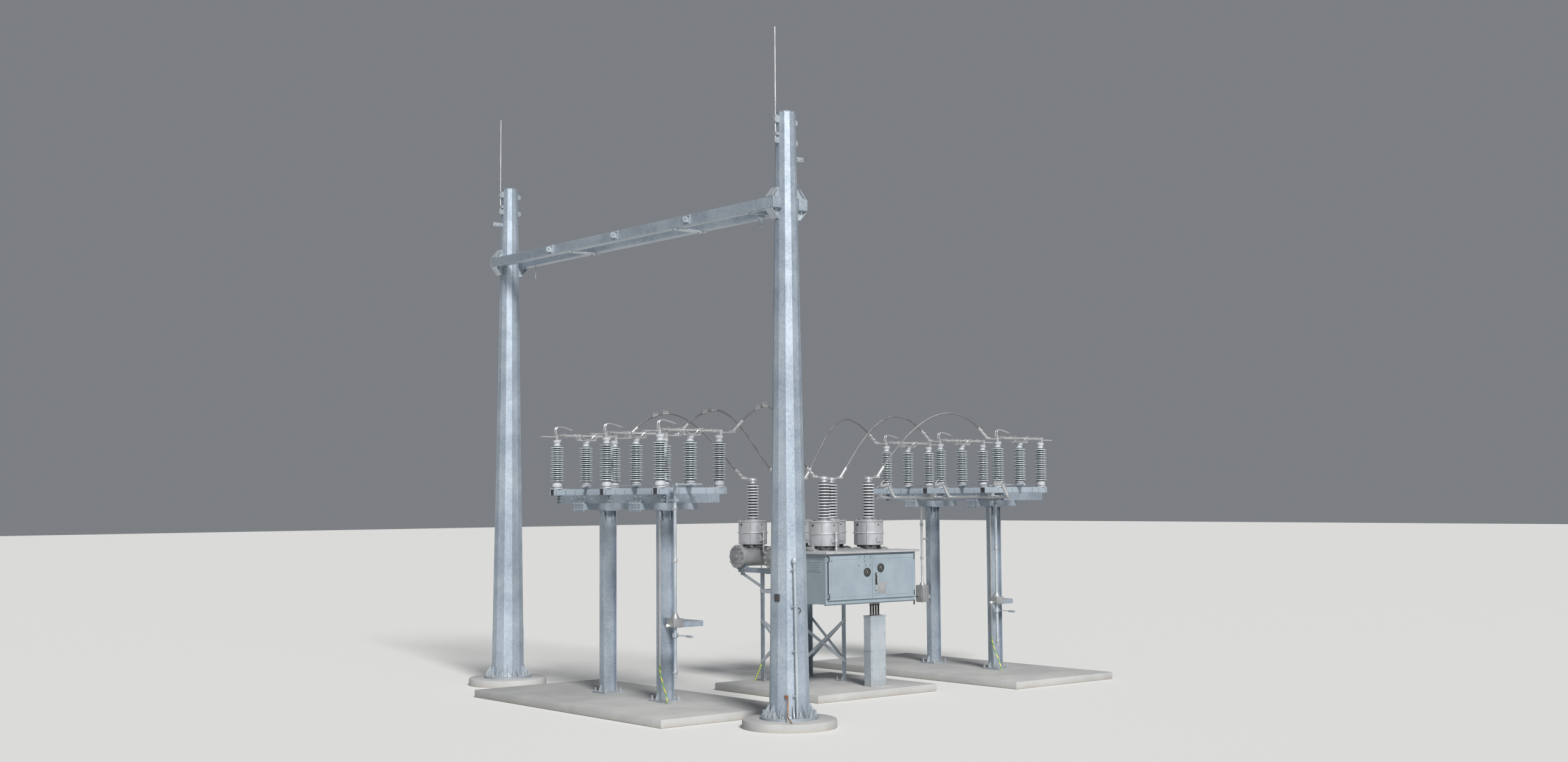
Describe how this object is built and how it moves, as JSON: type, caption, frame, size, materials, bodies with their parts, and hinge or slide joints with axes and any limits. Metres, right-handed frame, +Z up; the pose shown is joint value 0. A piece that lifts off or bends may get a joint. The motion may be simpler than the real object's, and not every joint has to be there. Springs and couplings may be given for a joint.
{
  "type": "substation switchgear bay",
  "caption": "Outdoor substation bay: landing gantry, ganged rotating-blade disconnectors on columns, dead-tank circuit breaker with a control cabinet, and arched conductors.",
  "frame": {"origin": "on the ground, where the gantry's line crosses the bay's centre line", "axes": "+X across the phases towards the drive pipes and the cabinet, +Y from the line side to the bus side, +Z up"},
  "size_m": [8.8, 9.45, 9.685],
  "materials": {
    "concrete": "cast, trowelled top, rain-stained",
    "galvanised_steel": "hot-dip galvanised, spangled, dull",
    "bright_aluminium": "mill finish",
    "cast_aluminium": "cast, weathered matt",
    "stranded_aluminium": "stranded, weathered",
    "porcelain": "pale grey glaze",
    "cabinet_paint": "pale blue-grey enamel, sun-faded",
    "black_rubber": "matt",
    "black_plastic": "satin",
    "dial_face": "smooth",
    "copper": "bare copper, browned",
    "earth_strap": "green sleeve with a yellow stripe"
  },
  "bodies": {
    "structure": {"foundations": "concrete", "gantry_pole_left": "galvanised_steel", "gantry_pole_right": "galvanised_steel", "gantry_beams": "galvanised_steel", "gantry_brackets": "galvanised_steel", "gantry_landing_plates": "galvanised_steel", "lightning_rods": "galvanised_steel", "disconnector_columns": "galvanised_steel", "disconnector_cross_arms": "galvanised_steel", "drive_brackets": "galvanised_steel", "bus_earth_switch": "bright_aluminium", "breaker_legs": "galvanised_steel", "breaker_rails": "galvanised_steel", "breaker_braces": "galvanised_steel", "breaker_tanks": "cast_aluminium", "breaker_drums": "bright_aluminium", "breaker_bushings": "porcelain", "breaker_terminals": "bright_aluminium", "breaker_cabinet": "cabinet_paint", "breaker_cable_duct": "galvanised_steel", "conductors": "stranded_aluminium", "line_frame": "galvanised_steel", "line_fixed_posts": "porcelain", "line_terminals": "bright_aluminium", "bus_frame": "galvanised_steel", "bus_fixed_posts": "porcelain", "bus_terminals": "bright_aluminium"},
    "breaker_door_left": {"breaker_door_left": "cabinet_paint"},
    "breaker_door_right": {"breaker_door_right": "cabinet_paint"},
    "line_rotor_a": {"line_rotor_a": "porcelain", "line_blade_a": "bright_aluminium"},
    "line_rotor_b": {"line_rotor_b": "porcelain", "line_blade_b": "bright_aluminium"},
    "line_rotor_c": {"line_rotor_c": "porcelain", "line_blade_c": "bright_aluminium"},
    "line_drive": {"line_drive_pipe": "galvanised_steel"},
    "line_tie_rod": {"line_tie_rod": "galvanised_steel"},
    "bus_rotor_a": {"bus_rotor_a": "porcelain", "bus_blade_a": "bright_aluminium"},
    "bus_rotor_b": {"bus_rotor_b": "porcelain", "bus_blade_b": "bright_aluminium"},
    "bus_rotor_c": {"bus_rotor_c": "porcelain", "bus_blade_c": "bright_aluminium"},
    "bus_drive": {"bus_drive_pipe": "galvanised_steel"},
    "bus_tie_rod": {"bus_tie_rod": "galvanised_steel"}
  },
  "joints": [
    {"name": "line_phase_a", "type": "hinge", "parent": "structure", "child": "line_rotor_a", "pos_m": [-1.4, -0.05, 3.33], "axis": [0, 0, -1], "range_deg": [0, 60]},
    {"name": "line_disconnector", "type": "hinge", "parent": "structure", "child": "line_rotor_b", "pos_m": [0, -0.05, 3.33], "axis": [0, 0, -1], "range_deg": [0, 60]},
    {"name": "line_phase_c", "type": "hinge", "parent": "structure", "child": "line_rotor_c", "pos_m": [1.4, -0.05, 3.33], "axis": [0, 0, -1], "range_deg": [0, 60]},
    {"name": "line_drive_turn", "type": "hinge", "parent": "structure", "child": "line_drive", "pos_m": [1.6, -0.47, 3], "axis": [0, 0, -1], "range_deg": [0, 60]},
    {"name": "line_rod_link", "type": "hinge", "parent": "line_rotor_b", "child": "line_tie_rod", "pos_m": [0.21651, -0.175, 3.33], "axis": [0, 0, -1], "range_deg": [-60, 0]},
    {"name": "bus_phase_a", "type": "hinge", "parent": "structure", "child": "bus_rotor_a", "pos_m": [-1.4, 7.05, 3.33], "axis": [0, 0, -1], "range_deg": [0, 60]},
    {"name": "bus_disconnector", "type": "hinge", "parent": "structure", "child": "bus_rotor_b", "pos_m": [0, 7.05, 3.33], "axis": [0, 0, -1], "range_deg": [0, 60]},
    {"name": "bus_phase_c", "type": "hinge", "parent": "structure", "child": "bus_rotor_c", "pos_m": [1.4, 7.05, 3.33], "axis": [0, 0, -1], "range_deg": [0, 60]},
    {"name": "bus_drive_turn", "type": "hinge", "parent": "structure", "child": "bus_drive", "pos_m": [1.1, 6.75, 3], "axis": [0, 0, -1], "range_deg": [0, 60]},
    {"name": "bus_rod_link", "type": "hinge", "parent": "bus_rotor_b", "child": "bus_tie_rod", "pos_m": [0.21651, 6.925, 3.33], "axis": [0, 0, -1], "range_deg": [-60, 0]},
    {"name": "cabinet_door_left", "type": "hinge", "parent": "structure", "child": "breaker_door_left", "pos_m": [1.651, 2.4, 1.87], "axis": [0, 0, -1], "range_deg": [0, 110]},
    {"name": "cabinet_door_right", "type": "hinge", "parent": "structure", "child": "breaker_door_right", "pos_m": [1.651, 4.26, 1.87], "axis": [0, 0, 1], "range_deg": [0, 110]}
  ],
  "couplings": [
    {"joint": "line_phase_a", "follows": "line_disconnector", "ratio": 1},
    {"joint": "line_phase_c", "follows": "line_disconnector", "ratio": 1},
    {"joint": "line_drive_turn", "follows": "line_disconnector", "ratio": 1},
    {"joint": "line_rod_link", "follows": "line_disconnector", "ratio": -1},
    {"joint": "bus_phase_a", "follows": "bus_disconnector", "ratio": 1},
    {"joint": "bus_phase_c", "follows": "bus_disconnector", "ratio": 1},
    {"joint": "bus_drive_turn", "follows": "bus_disconnector", "ratio": 1},
    {"joint": "bus_rod_link", "follows": "bus_disconnector", "ratio": -1}
  ]
}
